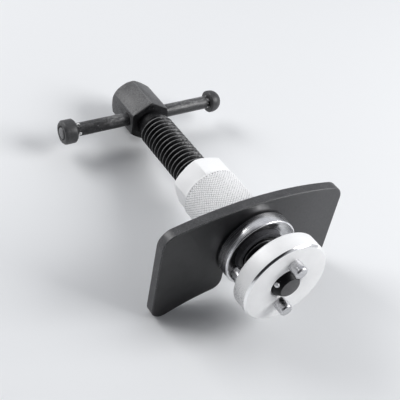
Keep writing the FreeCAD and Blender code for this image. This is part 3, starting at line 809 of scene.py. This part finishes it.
# End knob: a blacked steel cap, domed at its outer end and pressed on the right tenon.
# It has the collar's finish.
KNOB_RADIUS = knob_high.z
KNOB_SHOULDER = 0.5 * MM
KNOB_TIP_FLAT = 0.5 * MM
DOME = KNOB_RADIUS - KNOB_TIP_FLAT
DOME_STEPS = 14
dome = []
for step in range(DOME_STEPS + 1):
    angle = math.pi / 2 * step / DOME_STEPS
    dome.append((KNOB_RADIUS - DOME + DOME * math.cos(angle),
                 knob_high.x - DOME + DOME * math.sin(angle)))
knob = lathe("domed_knob", (
    (0, bar_high.x),
    (TENON_RADIUS, bar_high.x),
    (TENON_RADIUS, knob_low.x),
    (KNOB_RADIUS - KNOB_SHOULDER, knob_low.x),
    (KNOB_RADIUS, knob_low.x + KNOB_SHOULDER),
    *dome,
    (0, knob_high.x),
), 64, "X", bar_centre)
break_edges(knob, 0.2 * MM)
dress(knob, bar_end_black)
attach(knob, "bar")
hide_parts("end_knob")

# Floor: a plain pale sheet. The tool lies on its plate's lower corners and its head, so
# the sheet slopes up a little along the screw.
FLOOR_SIZE = 4.0
FLOOR_GAP = 0.2 * MM
HEAD_REST = HEAD_END - 2 * MM
slope = math.atan2(spindle_low.z - plate_low.z, HEAD_REST - plate_low.y)
bpy.ops.object.select_all(action="DESELECT")
bpy.ops.mesh.primitive_plane_add(size=FLOOR_SIZE)
floor = bpy.context.object
floor.name = "floor"
floor.rotation_euler = (slope, 0, 0)
floor.location = (0, plate_low.y, plate_low.z - FLOOR_GAP)
# The sheet is seen through from below, so that the tool can be looked at from there
floor_paper = bpy.data.materials.new("floor_paper")
floor_paper.use_nodes = True
paper = floor_paper.node_tree
paper_shader = paper.nodes["Principled BSDF"]
paper_shader.inputs["Base Color"].default_value = (0.86, 0.87, 0.88, 1)
paper_shader.inputs["Roughness"].default_value = 0.7
paper_shader.inputs["Specular IOR Level"].default_value = 0.2
under = paper.nodes.new("ShaderNodeBsdfTransparent")
side = paper.nodes.new("ShaderNodeNewGeometry")
either = paper.nodes.new("ShaderNodeMixShader")
paper.links.new(side.outputs["Backfacing"], either.inputs["Fac"])
paper.links.new(paper_shader.outputs["BSDF"], either.inputs[1])
paper.links.new(under.outputs["BSDF"], either.inputs[2])
paper.links.new(either.outputs["Shader"], paper.nodes["Material Output"].inputs["Surface"])
floor.data.materials.append(floor_paper)

# Studio light: a key on the right, a softbox behind on the left and a pale tent round
# them that is open, and so dark, towards the camera
target = Vector((0, 0.03, 0))
CAMERA_PLACE = Vector((-186.3, -194.6, 242.7)) * MM


def softbox(name, place, size, power):
    # A square lamp that faces the tool.
    lamp = bpy.data.lights.new(name, "AREA")
    lamp.size = size
    lamp.energy = power
    holder = bpy.data.objects.new(name, lamp)
    holder.location = place
    holder.rotation_euler = (target - Vector(place)).to_track_quat("-Z", "Y").to_euler()
    bpy.context.collection.objects.link(holder)


softbox("key", (0.6, -0.4, 0.45), 0.45, 5.2)
softbox("side", (-0.42, 0.54, 0.57), 0.45, 3.8)
room = bpy.data.worlds.new("room")
bpy.context.scene.world = room
room.use_nodes = True
tent = room.node_tree
backdrop = tent.nodes["Background"]
way = tent.nodes.new("ShaderNodeTexCoord").outputs["Generated"]
facing = vector_step(tent, "DOT_PRODUCT", way, CAMERA_PLACE.normalized())["Value"]
gap = spread(tent, facing, 0.45, 0.75, 0, 1)
tent.links.new(blend_colours(tent, gap, (0.93, 0.95, 1, 1), (0.04, 0.04, 0.045, 1)),
               backdrop.inputs["Color"])
backdrop.inputs["Strength"].default_value = 0.64
# The camera itself sees the tent as pale as the floor
seen = tent.nodes.new("ShaderNodeBackground")
seen.inputs["Color"].default_value = (0.84, 0.85, 0.87, 1)
by_ray = tent.nodes.new("ShaderNodeMixShader")
tent.links.new(tent.nodes.new("ShaderNodeLightPath").outputs["Is Camera Ray"],
               by_ray.inputs["Fac"])
tent.links.new(backdrop.outputs["Background"], by_ray.inputs[1])
tent.links.new(seen.outputs["Background"], by_ray.inputs[2])
tent.links.new(by_ray.outputs["Shader"], tent.nodes["World Output"].inputs["Surface"])

# Camera: in front of the disc, above and to the left, rolled as the photograph is
look = Vector((0.4776, 0.5949, -0.647)).normalized()
right = Vector((0.8452, -0.5119, 0.153))
right = (right - look * right.dot(look)).normalized()
upward = right.cross(look)
camera_data = bpy.data.cameras.new("camera")
camera_data.lens = 72
camera_data.sensor_width = 36
camera_data.clip_start = 0.01
camera = bpy.data.objects.new("camera", camera_data)
bpy.context.collection.objects.link(camera)
turned = Matrix((right, upward, -look)).transposed()
camera.matrix_world = Matrix.Translation(CAMERA_PLACE) @ turned.to_4x4()
bpy.context.scene.camera = camera
bpy.context.scene.view_settings.view_transform = "Standard"
